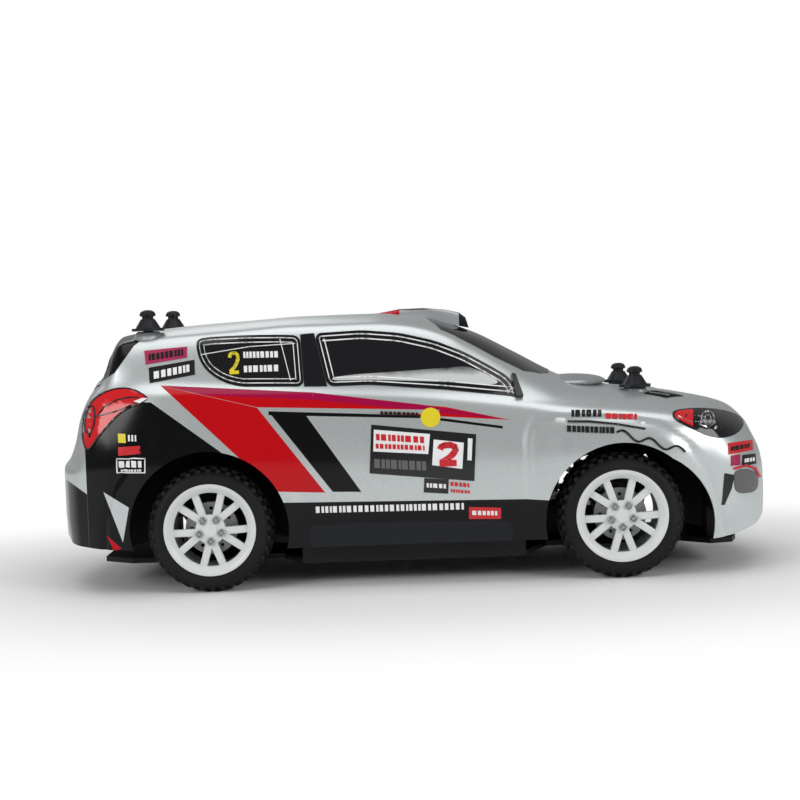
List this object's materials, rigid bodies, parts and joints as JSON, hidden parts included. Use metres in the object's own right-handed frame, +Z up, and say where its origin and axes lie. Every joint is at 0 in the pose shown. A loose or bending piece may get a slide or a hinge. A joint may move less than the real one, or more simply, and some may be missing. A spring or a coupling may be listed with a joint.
{
  "type": "radio-controlled rally car",
  "caption": "Four-wheel radio-controlled model car with a lift-off hatchback shell, steered sprung front wheels and a geared rear axle.",
  "frame": {"origin": "bottom centre of the bounding box, on the ground midway between the axles", "axes": "+X towards the nose, +Y to the car's left, +Z up"},
  "size_m": [0.282, 0.118, 0.108],
  "materials": {
    "shell_silver": "silver painted inside a clear shell",
    "cap_rubber": "matte black",
    "pan_black": "moulded black",
    "screw_steel": "plated",
    "frame_grey": "moulded dark grey",
    "bumper_foam": "closed-cell foam",
    "post_black": "moulded black",
    "motor_steel": "plated can",
    "battery_wrap": "shrink wrap",
    "electronics_black": "moulded black",
    "link_steel": "bright steel",
    "gear_plastic": "nylon",
    "horn_white": "nylon",
    "tyre": "matte rubber",
    "rim_white": "white moulding",
    "disc_grey": "grey moulding"
  },
  "bodies": {
    "chassis": {"chassis_pan": "pan_black", "chassis_screws": "screw_steel", "front_bulkhead": "frame_grey", "front_shock_tower": "frame_grey", "suspension_pins": "screw_steel", "front_bumper": "bumper_foam", "front_posts": "post_black", "rear_post_mount": "frame_grey", "rear_posts": "post_black", "gear_case": "frame_grey", "gear_case_cover": "frame_grey", "motor_can": "motor_steel", "battery_pack": "battery_wrap", "battery_strap": "post_black", "speed_control": "electronics_black", "receiver": "electronics_black", "switch_housing": "electronics_black", "steering_servo": "electronics_black", "damper_body_left": "frame_grey", "damper_body_right": "frame_grey", "spring_left": "link_steel", "spring_right": "link_steel"},
    "shell": {"body_shell": "shell_silver", "roof_scoop": "shell_silver"},
    "cap_fl": {"cap_front_left": "cap_rubber"},
    "cap_fr": {"cap_front_right": "cap_rubber"},
    "cap_rl": {"cap_rear_left": "cap_rubber"},
    "cap_rr": {"cap_rear_right": "cap_rubber"},
    "switch": {"switch_lever": "link_steel"},
    "horn": {"servo_horn": "horn_white"},
    "link": {"steering_link": "link_steel"},
    "arm_l": {"lower_arm_left": "frame_grey"},
    "arm_r": {"lower_arm_right": "frame_grey"},
    "upper_l": {"upper_link_left": "link_steel"},
    "upper_r": {"upper_link_right": "link_steel"},
    "hub_l": {"c_hub_left": "frame_grey"},
    "hub_r": {"c_hub_right": "frame_grey"},
    "knuckle_l": {"knuckle_left": "post_black"},
    "knuckle_r": {"knuckle_right": "post_black"},
    "rod_l": {"damper_rod_left": "link_steel"},
    "rod_r": {"damper_rod_right": "link_steel"},
    "motor_rotor": {"motor_pinion": "link_steel"},
    "layshaft": {"lay_gear": "gear_plastic"},
    "rear_wheels": {"rear_axle": "link_steel", "axle_gear": "gear_plastic", "tyre_rear_left": "tyre", "rim_rear_left": "rim_white", "disc_rear_left": "disc_grey", "tyre_rear_right": "tyre", "rim_rear_right": "rim_white", "disc_rear_right": "disc_grey"},
    "wheel_fl": {"tyre_front_left": "tyre", "rim_front_left": "rim_white", "disc_front_left": "disc_grey"},
    "wheel_fr": {"tyre_front_right": "tyre", "rim_front_right": "rim_white", "disc_front_right": "disc_grey"}
  },
  "joints": [
    {"name": "shell_lift", "type": "slide", "parent": "chassis", "child": "shell", "axis": [0, 0, 1], "range_m": [0, 0.11]},
    {"name": "cap_front_left_pull", "type": "slide", "parent": "shell", "child": "cap_fl", "axis": [0, 0, 1], "range_m": [0, 0.015]},
    {"name": "cap_front_right_pull", "type": "slide", "parent": "shell", "child": "cap_fr", "axis": [0, 0, 1], "range_m": [0, 0.015]},
    {"name": "cap_rear_left_pull", "type": "slide", "parent": "shell", "child": "cap_rl", "axis": [0, 0, 1], "range_m": [0, 0.015]},
    {"name": "cap_rear_right_pull", "type": "slide", "parent": "shell", "child": "cap_rr", "axis": [0, 0, 1], "range_m": [0, 0.015]},
    {"name": "switch_slide", "type": "slide", "parent": "chassis", "child": "switch", "axis": [0, 1, 0], "range_m": [0, 0.0045]},
    {"name": "arm_left_swing", "type": "hinge", "parent": "chassis", "child": "arm_l", "pos_m": [0.078, 0.014, 0.014], "axis": [1, 0, 0], "range_deg": [-8, 8], "stiffness_Nm_per_rad": 2},
    {"name": "upper_left_swing", "type": "hinge", "parent": "chassis", "child": "upper_l", "pos_m": [0.078, 0.014, 0.033], "axis": [1, 0, 0], "range_deg": [-8.1, 8.1]},
    {"name": "hub_left_upright", "type": "hinge", "parent": "arm_l", "child": "hub_l", "pos_m": [0.078, 0.034, 0.014], "axis": [1, 0, 0], "range_deg": [-8.1, 8.1]},
    {"name": "damper_left_stroke", "type": "slide", "parent": "chassis", "child": "rod_l", "axis": [0, 0, 1], "range_m": [-0.0014, 0.0014], "deforming": ["spring_left"]},
    {"name": "arm_right_swing", "type": "hinge", "parent": "chassis", "child": "arm_r", "pos_m": [0.078, -0.014, 0.014], "axis": [-1, 0, 0], "range_deg": [-8, 8], "stiffness_Nm_per_rad": 2},
    {"name": "upper_right_swing", "type": "hinge", "parent": "chassis", "child": "upper_r", "pos_m": [0.078, -0.014, 0.033], "axis": [-1, 0, 0], "range_deg": [-8.1, 8.1]},
    {"name": "hub_right_upright", "type": "hinge", "parent": "arm_r", "child": "hub_r", "pos_m": [0.078, -0.034, 0.014], "axis": [-1, 0, 0], "range_deg": [-8.1, 8.1]},
    {"name": "damper_right_stroke", "type": "slide", "parent": "chassis", "child": "rod_r", "axis": [0, 0, 1], "range_m": [-0.0014, 0.0014], "deforming": ["spring_right"]},
    {"name": "steer_left", "type": "hinge", "parent": "hub_l", "child": "knuckle_l", "pos_m": [0.078, 0.034, 0.024], "axis": [0, 0, 1], "range_deg": [-25, 25]},
    {"name": "steer_right", "type": "hinge", "parent": "hub_r", "child": "knuckle_r", "pos_m": [0.078, -0.034, 0.024], "axis": [0, 0, 1], "range_deg": [-25.1, 25.1]},
    {"name": "servo_turn", "type": "hinge", "parent": "chassis", "child": "horn", "pos_m": [0.06, 0, 0.024], "axis": [0, 0, 1], "range_deg": [-25.1, 25.1]},
    {"name": "link_turn", "type": "hinge", "parent": "horn", "child": "link", "pos_m": [0.05, 0, 0.027], "axis": [0, 0, 1], "range_deg": [-25.1, 25.1]},
    {"name": "wheel_front_left_spin", "type": "hinge", "parent": "knuckle_l", "child": "wheel_fl", "pos_m": [0.078, 0.044, 0.024], "axis": [0, 1, 0], "continuous": true},
    {"name": "wheel_front_right_spin", "type": "hinge", "parent": "knuckle_r", "child": "wheel_fr", "pos_m": [0.078, -0.044, 0.024], "axis": [0, 1, 0], "continuous": true},
    {"name": "rear_axle_spin", "type": "hinge", "parent": "chassis", "child": "rear_wheels", "pos_m": [-0.078, 0, 0.024], "axis": [0, 1, 0], "continuous": true},
    {"name": "layshaft_spin", "type": "hinge", "parent": "chassis", "child": "layshaft", "pos_m": [-0.0662, 0.01, 0.03226], "axis": [0, 1, 0], "continuous": true},
    {"name": "motor_spin", "type": "hinge", "parent": "chassis", "child": "motor_rotor", "pos_m": [-0.05315, 0.01, 0.02617], "axis": [0, 1, 0], "continuous": true}
  ],
  "couplings": [
    {"joint": "upper_left_swing", "follows": "arm_left_swing", "ratio": 1},
    {"joint": "hub_left_upright", "follows": "arm_left_swing", "ratio": -1},
    {"joint": "damper_left_stroke", "follows": "arm_left_swing", "m_per_rad": 0.009},
    {"joint": "upper_right_swing", "follows": "arm_right_swing", "ratio": 1},
    {"joint": "hub_right_upright", "follows": "arm_right_swing", "ratio": -1},
    {"joint": "damper_right_stroke", "follows": "arm_right_swing", "m_per_rad": 0.009},
    {"joint": "steer_right", "follows": "steer_left", "ratio": 1},
    {"joint": "servo_turn", "follows": "steer_left", "ratio": 1},
    {"joint": "link_turn", "follows": "steer_left", "ratio": -1},
    {"joint": "layshaft_spin", "follows": "rear_axle_spin", "ratio": -3},
    {"joint": "motor_spin", "follows": "rear_axle_spin", "ratio": 9}
  ]
}
